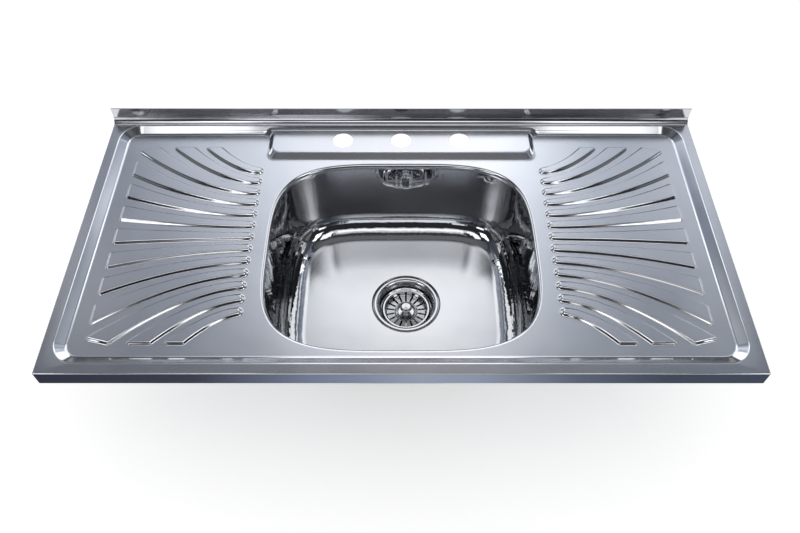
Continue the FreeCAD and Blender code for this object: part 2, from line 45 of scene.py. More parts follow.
LEAD = 3.0                # straight that heads a path into its first arc and is then dropped

# ---- Sizes -------------------------------------------------------------------------------
# Heights are over the underside of the aprons, which lies on the base unit.
SHEET, BASKET_SHEET = 0.78, 0.68          # a little thinner than the solids' 0.8 and 0.7
HALF_LENGTH, HALF_DEPTH = 500.0, 250.0
RIM_Z, FIELD_Z, LEDGE_Z = 28.0, 19.5, 24.3
RIM_FALL = 0.045          # slope of the front rim, 2.6 degrees
FOLD, RETURN_FOLD = 1.5, 1.2              # outside radii at the apron's top and foot
RETURN = 18.0             # width of the flange under the apron
BEND_Y, BEND = 238.4, 10.0                # where the rim turns up into the upstand, radius
UPSTAND_TOP, HEM = 56.0, 10.0
HEM_ROUND = 0.79          # outside radius of the folded top, just under half its width
SIDE_END = 0.8            # the sides' rear ends stay one sheet inside the rear face and rim
RECESS = (-483.0, 483.0, -234.0, 237.0)
RECESS_CORNER, SWAGE_RUN = 36.0, 14.5
SWAGE_FOOT, SWAGE_CREST = 0.17, 0.09      # rounding of the slope, as shares of its run
# Tap ledge, at the foot and at the top of its slopes: half width, front line, rear line.
LEDGE_FOOT, LEDGE_TOP = (226.0, 161.0, 222.5), (220.0, 176.0, 230.69)
LEDGE_ROUND = 14.0        # plan radius of its front corners and of its flared ends
LEDGE_SOFT = (0.25, 0.22)                 # rounding at foot and crest, as shares of the slope
TAPS = [(-100.0, 204.0), (0.0, 204.0), (100.0, 204.0)]
TAP_BORE = 35.0
BOWL_HALF, BOWL_CENTRE, ROLL = (205.0, 177.5), (0.0, -29.0), 5.5
WELD_Z, FLOOR_Z, SEAT_Z = 11.0, -126.5, -129.5
WALL_DRAFT, FLOOR_FILLET = math.radians(4.5), 40.0
FLOOR_FALL = 0.3          # the floor drops this much towards the waste
DRAIN = (8.4, -31.0)
SEAT_EDGE, SEAT_STEP, SEAT_BORE = 58.0, 57.4, 48.0
FLANGE_Z, CUP_TOP_Z, CUP_BASE_Z = -127.1, -147.0, -161.1
CUP_EDGE = 34.0           # radius at which the cup's wall ends and its flat base begins
LIP_Z, BASKET_FLOOR_Z, CENTRE_Z = -142.6, -153.1, -152.1
KNOB_TOP_Z = -136.0


# ---- Surface kit -------------------------------------------------------------------------
def unit(v):
    """Vectors divided by their own length."""
    return v / np.maximum(np.linalg.norm(v, axis=-1, keepdims=True), 1e-12)


def cells(points, normals, closed=False, keep=None):
    """Patch from a grid of points (rows, columns): each cell is two triangles.

    A closed grid joins its last column to its first; keep says which cells stay.
    """
    rows, cols = points.shape[:2]
    r, c = np.meshgrid(np.arange(rows - 1), np.arange(cols if closed else cols - 1), indexing="ij")
    if keep is not None:
        r, c = r[keep], c[keep]
    r, c = r.ravel() * cols, c.ravel()
    n = (c + 1) % cols
    a, b, d, e = r + c, r + n, r + cols + n, r + cols + c
    faces = np.concatenate([np.stack([a, b, d], 1), np.stack([a, d, e], 1)])
    return points.reshape(-1, 3), normals.reshape(-1, 3), faces


def shell(patches, thickness=0.0):
    """Patches welded into one surface whose triangles face along their normals.

    With a thickness t a second skin lies at P - t N, and a strip at right angles closes each
    open edge between the two.
    """
    start = np.cumsum([0] + [len(p[0]) for p in patches])
    points = np.concatenate([p[0] for p in patches])
    normals = np.concatenate([p[1] for p in patches])
    corners = np.concatenate([p[2] + s for p, s in zip(patches, start)])
    _, first, spot = np.unique(np.round(points / WELD).astype(np.int64), axis=0,
                               return_index=True, return_inverse=True)
    places = points[first]
    faces = spot.ravel()[corners]
    a, b, c = (places[faces[:, i]] for i in range(3))
    facing = np.cross(b - a, c - a)
    # Triangles that welding has left without an area are dropped.
    whole = np.linalg.norm(facing, axis=1) > 1e-7
    corners, faces, facing = corners[whole], faces[whole], facing[whole]
    wrong = (facing * normals[corners].sum(1)).sum(1) < 0
    faces[wrong], corners[wrong] = faces[wrong][:, ::-1], corners[wrong][:, ::-1]
    shading = normals[corners]
    if not thickness:
        return places, faces, shading
    mean = np.zeros_like(places)
    np.add.at(mean, faces.ravel(), shading.reshape(-1, 3))
    inner = places - thickness * unit(mean)
    edges = faces[:, [0, 1, 1, 2, 2, 0]].reshape(-1, 2)
    _, where, count = np.unique(np.sort(edges, 1), axis=0, return_index=True, return_counts=True)
    p, q = edges[where[count == 1]].T
    total = len(places)
    rim = np.concatenate([np.stack([q, p, p + total], 1), np.stack([q, p + total, q + total], 1)])
    places = np.concatenate([places, inner])
    a, b, c = (places[rim[:, i]] for i in range(3))
    edge_facing = np.repeat(unit(np.cross(b - a, c - a))[:, None], 3, 1)
    return (places, np.concatenate([faces, faces[:, ::-1] + total, rim]),
            np.concatenate([shading, -shading[:, ::-1], edge_facing]))


def rounded(corners, radii, side=1, steps=5):
    """Path (place, height) through corners, with an arc of the given radius at each.

    Rows are place, height and the unit normal on the left (side 1) or right (side -1). A radius
    of 0 keeps the corner sharp: its point stands twice, once with each normal.
    """
    corners = np.asarray(corners, float)
    way = np.diff(corners, axis=0)
    heading = np.arctan2(way[:, 1], way[:, 0])
    rows = [(*corners[0], heading[0])]
    for spot, before, after, radius in zip(corners[1:-1], heading, heading[1:], radii):
        turn = (after - before + math.pi) % (2 * math.pi) - math.pi
        if radius == 0:
            rows += [(*spot, before), (*spot, after)]
            continue
        hand = math.copysign(1, turn)
        incoming = np.array([math.cos(before), math.sin(before)])
        begin = spot - radius * math.tan(abs(turn) / 2) * incoming
        centre = begin + hand * radius * np.array([-math.sin(before), math.cos(before)])
        for h in before + turn * np.linspace(0, 1, steps + 1):
            rows.append((*(centre + hand * radius * np.array([math.sin(h), -math.cos(h)])), h))
    rows.append((*corners[-1], heading[-1]))
    rows = np.array(rows)
    h = rows[:, 2]
    return np.column_stack([rows[:, :2], -side * np.sin(h), side * np.cos(h)])


def ring(box, radius, inset, fan=16, along=4):
    """Round-cornered rectangle drawn in by inset, anticlockwise from its right side to itself.

    Each corner is a quarter circle of fan steps about a centre that stays still, and along
    steps lead on to the next.
    """
    x0, x1, y0, y1 = box
    bend = max(radius - inset, 0.0)
    x0, x1, y0, y1 = x0 + inset + bend, x1 - inset - bend, y0 + inset + bend, y1 - inset - bend
    centres = np.array([(x1, y1), (x0, y1), (x0, y0), (x1, y0)])
    share = np.arange(1, along)[:, None] / along
    points = []
    for i, centre in enumerate(centres):
        a = np.radians(90) * (i + np.linspace(0, 1, fan + 1))
        way = np.column_stack([np.cos(a), np.sin(a)])
        corner = centre + bend * way
        following = centres[(i + 1) % 4] + bend * way[-1]
        points += [corner, corner[-1] + share * (following - corner[-1])]
    return np.concatenate(points + [points[0][:1]])


def opening(inset, count=240):
    """The bowl's outline drawn in by inset: the superellipse |x/a|^n + |y/b|^n = 1.

    A point lies at r = (|cos/a|^n + |sin/b|^n)^(-1/n) at its polar angle. The second result is
    the outward normal over the speed at which the outline draws in along it.
    """
    angle = 2 * math.pi * (np.arange(count) + 0.5) / count
    way = np.column_stack([np.cos(angle), np.sin(angle)])

    def radius(inset):
        power, half = 3.8 + 0.02 * inset, np.array(BOWL_HALF) - inset
        return (np.abs(way / half) ** power).sum(1) ** (-1 / power), power, half

    reach, power, half = radius(inset)
    points = reach[:, None] * way
    outward = unit(np.sign(way) * np.abs(points) ** (power - 1) / half ** power)
    speed = (radius(inset - 0.1)[0] - radius(inset + 0.1)[0]) / 0.2 * (way * outward).sum(1)
    return points + BOWL_CENTRE, outward / speed[:, None]


def arc(x, y, radius, start, end, count=12):
    """Points on a circle about (x, y), from the angle start to the angle end in degrees."""
    a = np.radians(np.linspace(start, end, count))
    return np.column_stack([x + radius * np.cos(a), y + radius * np.sin(a)])


def circle(count, centre=DRAIN):
    """Gives the ring function r -> points and outward normals of a circle about centre."""
    a = 2 * math.pi * np.arange(count) / count
    way = np.column_stack([np.cos(a), np.sin(a)])
    return lambda radius: (np.array(centre) + radius * way, way)


def carried(ring_at, path, inward=1):
    """A path carried round a ring: row i lies on ring_at(place_i) at height_i.

    inward is 1 where place is an inset and -1 where it is a radius.
    """
    points, normals = [], []
    for place, height, across, up in path:
        line, outward = ring_at(place)
        points.append(np.column_stack([line, np.full(len(line), height)]))
        normals.append(np.column_stack([-inward * across * outward, np.full(len(line), up)]))
    return cells(np.array(points), np.array(normals), closed=True)


def turned(corners, radii, steps=5):
    """A path (radius, height) turned about the upright axis through the waste."""
    return carried(circle(96), rounded(corners, radii, -1, steps), -1)


def plate(outline, holes, lines, spots, height):
    """Sheet inside a convex outline and round holes, cut into Delaunay triangles along the
    lines and through the loose spots, then raised to z = height(x, y).

    Its normal is (-dz/dx, -dz/dy, 1), from height differences over 0.05 mm each way.
    """
    places, edges, rings = [], [], []
    for line in [outline] + holes + lines:
        begin = len(places)
        places += [Vector(p) for p in np.asarray(line)[:, :2].tolist()]
        index = list(range(begin, len(places)))
        edges += list(zip(index, index[1:]))
        if line is outline:
            edges.append((index[-1], begin))
        elif any(line is hole for hole in holes):
            x, y = np.asarray(line)[:, :2].T
            anticlockwise = (x * np.roll(y, -1) - y * np.roll(x, -1)).sum() > 0
            rings.append(index if anticlockwise else index[::-1])
    places += [Vector(p) for p in spots]
    found, _, faces, _, _, owners = delaunay_2d_cdt(places, edges, rings, 0, 1e-4)
    flat = np.array([tuple(p) for p in found])
    faces = np.array([face for face, owner in zip(faces, owners) if not owner])
    x, y = flat.T
    tiny = 0.05
    slope_x = (height(x + tiny, y) - height(x - tiny, y)) / (2 * tiny)
    slope_y = (height(x, y + tiny) - height(x, y - tiny)) / (2 * tiny)
    normals = unit(np.column_stack([-slope_x, -slope_y, np.ones(len(x))]))
    return np.column_stack([x, y, height(x, y)]), normals, faces


def ramp(t, width):
    """0 below -width, t above width, and the parabola (t + width)^2 / (4 width) between."""
    return np.where(t < -width, 0, np.where(t > width, t, (t + width) ** 2 / (4 * width)))


def climb(t, foot, crest):
    """Rises from 0 to 1 as t does, rounded over foot and crest."""
    return ramp(t, foot) - ramp(t - 1, crest)


def box_depth(x, y, box, radius):
    """Distance inside a round-cornered rectangle, negative outside it."""
    x0, x1, y0, y1 = box
    across = np.abs(x - (x0 + x1) / 2) - ((x1 - x0) / 2 - radius)
    along = np.abs(y - (y0 + y1) / 2) - ((y1 - y0) / 2 - radius)
    outside = np.hypot(np.maximum(across, 0), np.maximum(along, 0))
    return radius - outside - np.minimum(np.maximum(across, along), 0)


# ---- Object making -----------------------------------------------------------------------
def placed(name, data):
    """New object at the origin, linked to the scene."""
    thing = bpy.data.objects.new(name, data)
    bpy.context.scene.collection.objects.link(thing)
    return thing


def level_sheet(half, front, rear, z):
    """Corners and face of a level rectangle."""
    return [(-half, front, z), (half, front, z), (half, rear, z), (-half, rear, z)], [(0, 1, 2, 3)]


def piece(name, surface, material, body, replaces):
    """Mesh object from a surface: places in millimetres, triangles and a normal per corner."""
    places, faces, shading = surface
    mesh = bpy.data.meshes.new(name)
    mesh.vertices.add(len(places))
    mesh.vertices.foreach_set("co", (places * MM).astype(np.float32).ravel())
    mesh.loops.add(faces.size)
    mesh.loops.foreach_set("vertex_index", faces.astype(np.int32).ravel())
    mesh.polygons.add(len(faces))
    mesh.polygons.foreach_set("loop_start", np.arange(0, faces.size, 3, dtype=np.int32))
    mesh.polygons.foreach_set("use_smooth", np.ones(len(faces), bool))
    mesh.update(calc_edges=True)
    mesh.normals_split_custom_set(unit(shading).reshape(-1, 3).tolist())
    mesh.materials.append(material)
    thing = placed(name, mesh)
    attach(thing, body)
    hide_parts(*replaces)


# ---- Materials ---------------------------------------------------------------------------
def colour(code):
    """sRGB hex to linear RGBA."""
    c = np.array([int(code[i:i + 2], 16) for i in (1, 3, 5)]) / 255
    c = np.where(c <= 0.04045, c / 12.92, ((c + 0.055) / 1.055) ** 2.4)
    return (*c.tolist(), 1.0)


def node(tree, kind, inputs=None, **settings):
    """Adds a node with its settings; inputs are values, or the outputs that feed the sockets."""
    added = tree.nodes.new("ShaderNode" + kind)
    for key, value in settings.items():
        setattr(added, key, value)
    for key, value in (inputs or {}).items():
        if isinstance(value, bpy.types.NodeSocket):
            tree.links.new(value, added.inputs[key])
        else:
            added.inputs[key].default_value = value
    return added


def blank(name):
    """New material with an empty node tree and its output."""
    material = bpy.data.materials.new(name)
    material.use_nodes = True
    tree = material.node_tree
    tree.nodes.clear()
    return material, tree, node(tree, "OutputMaterial")


# Noise scales in waves per metre: satin grain of 0.8 mm, clouds of 110 mm, long waves of 70 mm,
# and flutes of 17 mm, whose finer part shows 6 to 10 mm apart. Depths are in millimetres.
GRAIN_SCALE, CLOUD_SCALE, WAVE_SCALE, FLUTE_SCALE = 1200.0, 9.0, 14.0, 60.0
GRAIN_DEPTH, WAVE_DEPTH, FLUTE_DEPTH = 0.006, 1.2, 0.6
FLUTE_STRETCH = 0.12      # the flutes' pattern is drawn out upwards by this scale
SHADE_EDGE, SHADE_TONE = 3.0, 0.08          # millimetres over which the painted shade sets in, and the share of the colour left in it


def stainless(name, tone, satin, polish, flat_from, flat_to, waves=0.25, flutes=0.0,
              shade_below=None):
    """Stainless sheet: satin where it lies flat, polished on its slopes.

    The flats keep the fine grain of the satin belt, so they scatter light softly. The slopes
    are buffed after pressing and mirror the room. flat_from and flat_to are the upward parts of
    the surface's normal between which one goes over into the other. Thin sheet is never quite
    flat, which the long shallow waves give; drawn walls also keep upright flutes. The last argument
    is a height in millimetres; below it the colour is darkened into painted shade, as a deep recess
    would be shadowed.
    """
    material, tree, output = blank(name)
    place = node(tree, "TexCoord").outputs
    facing = node(tree, "SeparateXYZ", {0: place["Normal"]}).outputs["Z"]
    flat = node(tree, "MapRange", {"Value": facing, "From Min": flat_from, "From Max": flat_to},
                interpolation_type="SMOOTHSTEP").outputs[0]
    # The scratches are really 0.15 mm apart; the grain is drawn coarser so that it shows.
    grain, cloud, long_wave = (
        node(tree, "TexNoise", {"Vector": place["Object"], "Scale": scale,
                                "Detail": detail}).outputs[0]
        for scale, detail in ((GRAIN_SCALE, 2.0), (CLOUD_SCALE, 3.0), (WAVE_SCALE, 1.0)))
    patchy, tint = (
        node(tree, "MapRange", {"Value": cloud, "From Min": 0.3, "From Max": 0.7,
                                "To Min": least, "To Max": most}).outputs[0]
        for least, most in ((0.9, 1.12), (0.97, 1.03)))
    rough = node(tree, "MapRange", {"Value": flat, "To Min": polish, "To Max": satin}).outputs[0]
    rough = node(tree, "Math", {0: rough, 1: patchy}, operation="MULTIPLY").outputs[0]
    bump = node(tree, "Bump", {"Height": long_wave, "Distance": WAVE_DEPTH * MM,
                               "Strength": waves}).outputs[0]
    fine = node(tree, "Math", {0: grain, 1: flat}, operation="MULTIPLY").outputs[0]
    bump = node(tree, "Bump", {"Height": fine, "Distance": GRAIN_DEPTH * MM, "Strength": 0.4,
                               "Normal": bump}).outputs[0]
    if flutes:
        upright = node(tree, "Mapping", {"Vector": place["Object"],
                                         "Scale": (1.0, 1.0, FLUTE_STRETCH)}).outputs[0]
        flute = node(tree, "TexNoise", {"Vector": upright, "Scale": FLUTE_SCALE,
                                        "Detail": 2.0}).outputs[0]
        steep = node(tree, "Math", {0: 1.0, 1: flat}, operation="SUBTRACT").outputs[0]
        flute = node(tree, "Math", {0: flute, 1: steep}, operation="MULTIPLY").outputs[0]
        bump = node(tree, "Bump", {"Height": flute, "Distance": FLUTE_DEPTH * MM,
                                   "Strength": flutes, "Normal": bump}).outputs[0]
    if shade_below is not None:
        # Painted shade: below the given height the colour is darkened to a small share of itself,
        # as a shadowed recess.
        height = node(tree, "SeparateXYZ", {0: place["Object"]}).outputs["Z"]
        painted_shade = node(tree, "MapRange", {"Value": height, "From Min": (shade_below - SHADE_EDGE) * MM,
                                       "From Max": shade_below * MM, "To Min": SHADE_TONE}).outputs[0]
        tint = node(tree, "Math", {0: tint, 1: painted_shade}, operation="MULTIPLY").outputs[0]
    shade = node(tree, "VectorMath", {0: colour(tone)[:3], "Scale": tint},
                 operation="SCALE").outputs[0]
    surface = node(tree, "BsdfPrincipled", {"Base Color": shade, "Metallic": 1.0,
                                            "Roughness": rough, "Normal": bump})
    tree.links.new(surface.outputs[0], output.inputs["Surface"])
    return material


def plain(name, tone, roughness, metallic, grain_mm, depth_mm, spread):
    """Even finish with a fine grain: colour and roughness vary by spread, bump by depth.

    The noise has 0.4 waves to a grain, because its finer parts lie that much closer.
    """
    material, tree, output = blank(name)
    place = node(tree, "TexCoord").outputs["Object"]
    grain = node(tree, "TexNoise", {"Vector": place, "Scale": 0.4 / (grain_mm * MM),
                                    "Detail": 3.0}).outputs[0]
    level = node(tree, "MapRange", {"Value": grain, "From Min": 0.3, "From Max": 0.7,
                                    "To Min": 1 - spread, "To Max": 1 + spread}).outputs[0]
    shade = node(tree, "VectorMath", {0: colour(tone)[:3], "Scale": level},
                 operation="SCALE").outputs[0]
    rough = node(tree, "Math", {0: level, 1: roughness}, operation="MULTIPLY").outputs[0]
    bump = node(tree, "Bump", {"Height": grain, "Distance": depth_mm * MM,
                               "Strength": 1.0}).outputs[0]
    surface = node(tree, "BsdfPrincipled", {"Base Color": shade, "Metallic": metallic,
                                            "Roughness": rough, "Normal": bump})
    tree.links.new(surface.outputs[0], output.inputs["Surface"])
    return material


# The panel is satin with buffed slopes, the bowl's walls are bright mirrors, and the small
# pressings of the waste mirror less sharply; the cup under the flange gets painted shade, its
# colour darkened below -146 mm.
panel_steel = stainless("satin_stainless_sheet", "#d2d4d9", 0.24, 0.12, 0.93, 0.995)
bowl_steel = stainless("polished_drawn_stainless", "#c2c4c7", 0.22, 0.04, 0.97, 0.997,
                       waves=0.3, flutes=0.8)
waste_steel = stainless("polished_waste_stainless", "#c3c5c8", 0.20, 0.15, 0.97, 0.999, waves=0.02)
# Painted shade: this material's colour darkens below -146 mm, so the cup under the flange looks
# shadowed.
flange_steel = stainless("pressed_waste_stainless", "#c3c5c8", 0.20, 0.17, 0.97, 0.999,
                         waves=0.02, shade_below=-146.0)
# Galvanised strip is cloudy grey and bright plate even; bitumen is matt and pitted, rubber dull
# black, polypropylene off-white with a soft sheen, and turned brass smooth and yellow.
bare_steel = plain("galvanised_steel_strip", "#a9adb2", 0.42, 1.0, 6.0, 0.02, 0.12)
zinc = plain("bright_zinc_plate", "#b9bdc2", 0.34, 1.0, 2.0, 0.02, 0.08)
bitumen = plain("bitumen_damping_sheet", "#2c2c2e", 0.85, 0.0, 1.6, 0.15, 0.15)
rubber = plain("moulded_nitrile_rubber", "#1d1d1e", 0.62, 0.0, 0.6, 0.02, 0.08)
plastic = plain("moulded_polypropylene", "#d8d8d4", 0.42, 0.0, 0.8, 0.015, 0.02)
brass = plain("turned_brass", "#c9a35c", 0.28, 1.0, 0.5, 0.01, 0.05)


# ---- Pressed surface of the panel --------------------------------------------------------
def drained_field(x, y):
    """Height of the drained recess: rim, a slope 14.5 mm wide, and the field 8.5 mm down."""
    inside = box_depth(x, y, RECESS, RECESS_CORNER)
    return (RIM_Z - FIELD_Z) * climb(1 - inside / SWAGE_RUN, SWAGE_FOOT, SWAGE_CREST)


def ledge_depth(x, y, half, front, rear):
    """Distance inside the tap ledge's plan: round front corners and ends that flare to the rear.

    The plan is a block without a rear edge, so that only its front corners count. Near the rear
    line the ends run out in a quarter circle; away from the ends the distance is just large.
    """
    x, turn = np.abs(x), LEDGE_ROUND
    endless, near_end = 1000.0, 60.0
    block = box_depth(x, y, (-half, half, front, front + endless), turn)
    quarter = np.hypot(np.maximum(half + turn - x, 0), y - (rear - turn)) - turn
    run_out = np.where(x < half + turn, quarter, y - rear)
    return np.where(y > rear - turn, np.where(x > half - near_end, run_out, half), block)


def ledge_share(x, y):
    """0 at the foot of the ledge's slopes and 1 at their top."""
    foot, top = ledge_depth(x, y, *LEDGE_FOOT), ledge_depth(x, y, *LEDGE_TOP)
    return foot / np.maximum(foot - top, 0.5)


def rim_fall(y):
    """Drop of the front rim, which slopes down to its folded edge."""
    return RIM_FALL * np.maximum(RECESS[2] - y, 0)


def pressing(x, y):
    """The higher of the recess and the ledge, with a soft valley where the two meet.

    Where their heights differ by less than reach, (1 - difference / reach)^2 reach / 4 is added.
    reach is up to 2.2 mm, less near the field, and fades out over the ledge's last 10 mm.
    """
    recess = drained_field(x, y)
    ledge = (LEDGE_Z - FIELD_Z) * climb(ledge_share(x, y), *LEDGE_SOFT)
    near_ends = np.clip((236 - np.abs(x)) / 10, 0, 1)
    reach = 2.2 * np.clip((recess + ledge) / 4, 0, 1) * near_ends
    blend = np.maximum(1 - np.abs(recess - ledge) / np.maximum(reach, 1e-6), 0)
    return FIELD_Z + np.maximum(recess, ledge) + blend ** 2 * reach / 4 - rim_fall(y)


def ledge_line(t):
    """Plan line across the ledge's slope at share t of the way from its foot to its top."""
    half, front, rear = (foot + t * (top - foot) for foot, top in zip(LEDGE_FOOT, LEDGE_TOP))
    turn = LEDGE_ROUND
    side = np.concatenate([arc(half + turn, rear - turn, turn, 90, 180),
                           arc(half - turn, front + turn, turn, 0, -90)])
    return np.concatenate([side, (side * (-1, 1))[::-1]])


# ---- Drainer ribs ------------------------------------------------------------------------
RIB_HEIGHT, RIB_FLANK, RIB_FOOT, RIB_CREST = 4.0, 2.0, 0.6, 0.8
RIB_OFFSETS = np.array([3.2, 2.7, 2.2, 1.7, 1.2, 0.7, 0.2, -0.4, -1.0, -1.6])
RIBS = range(-6, 7)       # from the foremost rib to the rearmost
NOSE_EASE, NOSE_REACH = 0.45, 11.0        # widening of a rib's slope at its nose, and its reach
# Fan of ribs on a drainboard: where it starts and how far it runs across, the run before the
# ribs begin, the middle rib's line, their pitch there, and how they spread and bend outwards.
FAN_START, FAN_RUN, FAN_NOSE = 230.0, 213.0, 7.0
FAN_AXIS, FAN_PITCH, FAN_SPREAD = -4.9, 23.3, 24.2
FAN_EXTRA, FAN_BEND = 6.5, 1.75
FAN_REAR, FAN_FRONT = 189.0, 198.0        # cut lines, behind and in front of the middle


def rib_edge(index, side, count=240):
    """One long edge of a rib: y = begin + spread s^1.75, with s from 0 to 1 over the fan's run.

    begin = axis + pitch (index + 0.25 side); spread = 24.2 c (1 + (c / 6.5)^4) where
    c = index + 0.33 side. The edge stops at the fan's cut line.
    """
    c = index + 0.33 * side
    begin = FAN_AXIS + FAN_PITCH * (index + 0.25 * side)
    spread = FAN_SPREAD * c * (1 + (c / FAN_EXTRA) ** 4)
    s = np.linspace(FAN_NOSE / FAN_RUN, 1, count)
    y = begin + spread * s ** FAN_BEND
    over = np.flatnonzero((y > FAN_REAR) | (y < -FAN_FRONT))
    if len(over):
        pair = slice(over[0] - 1, over[0] + 1)
        cut = FAN_REAR if y[over[0]] > 0 else FAN_FRONT
        s = np.linspace(s[0], np.interp(cut, np.abs(y[pair]), s[pair]), count)
        y = begin + spread * s ** FAN_BEND
    slope = spread * FAN_BEND * s ** (FAN_BEND - 1) / FAN_RUN
    normal = unit(np.column_stack([-side * slope, np.full(len(s), float(side))]))
    return np.column_stack([FAN_START + FAN_RUN * s, y]), normal


def rib_loop(index, stations=34, fan=5, nose=12):
    """Innermost loop of a rib's flat top and the normals along which the other loops move out.

    It runs from the far end along the rear edge to the nose, round it and back along the front
    edge. The far end is cut square, and fans of normals turn its corners.
    """
    (rear, rear_n), (front, front_n) = rib_edge(index, 1), rib_edge(index, -1)
    tip = rear[-1]
    across = unit(front[-1] - tip)
    cut = np.array([-across[1], across[0]])
    cut = cut * math.copysign(1, float(cut @ (tip - rear[0])))
    inset = RIB_OFFSETS[-1]
    sides = []
    for edge, normal in ((rear, rear_n), (front, front_n)):
        edge, grid = edge + inset * normal, np.arange(len(edge))
        away = (edge - tip) @ cut
        step = np.linspace(0, np.interp(inset, away, grid), stations)
        line, way = (np.column_stack([np.interp(step, grid, rows[:, i]) for i in (0, 1)])
                     for rows in (edge, normal))
        sides.append((line, unit(way)))
    (rear, rear_n), (front, front_n) = sides
    share = np.linspace(0, 1, fan)[:, None]
    rear_fan = unit(cut * (1 - share) + rear_n[-1] * share)
    front_fan = unit(front_n[-1] * (1 - share) + cut * share)
    a = np.radians(np.linspace(90, 270, nose + 2)[1:-1])
    way = np.column_stack([np.cos(a), np.sin(a)])
    centre, half = (rear[0] + front[0]) / 2, np.linalg.norm(rear[0] - front[0]) / 2
    points = np.concatenate([np.repeat(rear[-1:], fan, 0), rear[::-1], centre + half * way, front,
                             np.repeat(front[-1:], fan, 0)])
    normals = np.concatenate([rear_fan, rear_n[::-1], way, front_n, front_fan])
    return points, normals


def rib_patches(index, hand):
    """Flanks and top of one rib, and its foot loop.

    Height over the field is 4 climb((2 - offset) / 2). Near the rib's nose the loops lie up to
    1.45 times as far apart, so that it ends in a dome. The top joins each rear point to the
    front point across from it.
    """
    line, outward = rib_loop(index)
    mirror = np.array([hand, 1.0])
    line, outward = line * mirror, outward * mirror
    t = (RIB_FLANK - RIB_OFFSETS) / RIB_FLANK
    z = RIB_HEIGHT * climb(t, RIB_FOOT, RIB_CREST)
    steep = RIB_HEIGHT / RIB_FLANK * (np.clip((t + RIB_FOOT) / (2 * RIB_FOOT), 0, 1)
                                      - np.clip((t - 1 + RIB_CREST) / (2 * RIB_CREST), 0, 1))
    half = len(line) // 2
    middle = np.mean(line[half - 1:half + 1], 0)
    from_nose = np.linalg.norm(line - middle, axis=1) / NOSE_REACH
    ease = 1 + NOSE_EASE * np.exp(-from_nose ** 2)[:, None]
    foot = line + (RIB_OFFSETS[0] - RIB_OFFSETS[-1]) * outward
    loops = foot[None] + (RIB_OFFSETS - RIB_OFFSETS[0])[:, None, None] * (ease * outward)[None]
    level = np.repeat(FIELD_Z + z, len(line)).reshape(-1, len(line), 1)
    points = np.concatenate([loops, level], 2)
    normals = unit(np.concatenate([steep[:, None, None] * (outward / ease)[None],
                                   np.ones((len(z), len(line), 1))], 2))
    top = np.stack([points[-1][:half], points[-1][::-1][:half]])
    up = np.zeros_like(top)
    up[..., 2] = 1
    return [cells(points, normals, closed=True), cells(top, up)], points[0]


# ---- Panel -------------------------------------------------------------------------------
def folded_line(inset):
    """Front and side edges drawn in by inset, from the left rear corner round to the right.

    Each rear end stands twice: below the rim the outer of the two moves on behind the bend.
    """
    half, front, bend = HALF_LENGTH - inset, -HALF_DEPTH + inset, max(FOLD - inset, 0.0)
    a = np.radians(np.linspace(180, 270, 7))
    way = np.column_stack([np.cos(a), np.sin(a)])
    left = np.array([-half + bend, front + bend]) + bend * way
    right, right_way = (left * (-1, 1))[::-1], (way * (-1, 1))[::-1]
    rear = np.array([[-half, BEND_Y]] * 2)
    points = np.concatenate([rear, left, right, rear * (-1, 1)])
    return points, np.concatenate([way[[0, 0]], way, right_way, right_way[[-1, -1]]])


def folded_edges():
    """Rim folded down to the apron and in again to the return flange.

    Each row is the folded line drawn in by the path's place, at the path's height.
    """
    path = rounded([(FOLD + LEAD, RIM_Z), (0, RIM_Z), (0, 0), (RETURN, 0)],
                   [FOLD, RETURN_FOLD], side=-1)[1:]
    ends = [0, -1]
    points, normals = [], []
    for inset, height, across, up in path:
        line, outward = folded_line(inset)
        z = np.full(len(line), height)
        if height <= RIM_Z - FOLD + 1e-6:
            line[ends, 1] = HALF_DEPTH - SIDE_END
            if height > RIM_Z / 2:
                z[ends] = RIM_Z - SIDE_END
        z = z - rim_fall(line[:, 1]) * np.clip(z / RIM_Z, 0, 1)
        points.append(np.column_stack([line, z]))
        normals.append(np.column_stack([-across * outward, np.full(len(line), up)]))
    return cells(np.array(points), np.array(normals))


def upstand():
    """Rear edge: concave bend, upright face, round top and the hem flat behind it.

    The path runs straight across: P = (-half or half, place, height). Over the first 1.2 mm of
    its height half grows by the fold's radius, to the panel's whole length.
    """
    face = BEND_Y + BEND
    path = rounded([(BEND_Y, RIM_Z), (face, RIM_Z), (face, UPSTAND_TOP), (HALF_DEPTH, UPSTAND_TOP),
                    (HALF_DEPTH, UPSTAND_TOP - HEM)], [BEND, HEM_ROUND, HEM_ROUND], steps=8)[1:]
    widening = FOLD * (path[:, 1] - RIM_Z) / 1.2
    half = np.minimum(HALF_LENGTH - FOLD + widening, HALF_LENGTH)
    points = np.stack([np.column_stack([x, path[:, 0], path[:, 1]]) for x in (-half, half)], 1)
    normals = np.repeat(np.column_stack([0 * half, path[:, 2], path[:, 3]])[:, None], 2, 1)
    return cells(points, normals)


def roll_and_collar():
    """Rolled edge of the opening and the short collar that is welded to the bowl."""
    path = rounded([(-ROLL - LEAD, FIELD_Z), (0, FIELD_Z), (0, WELD_Z)], [ROLL], steps=8)[1:]
    return carried(opening, path)


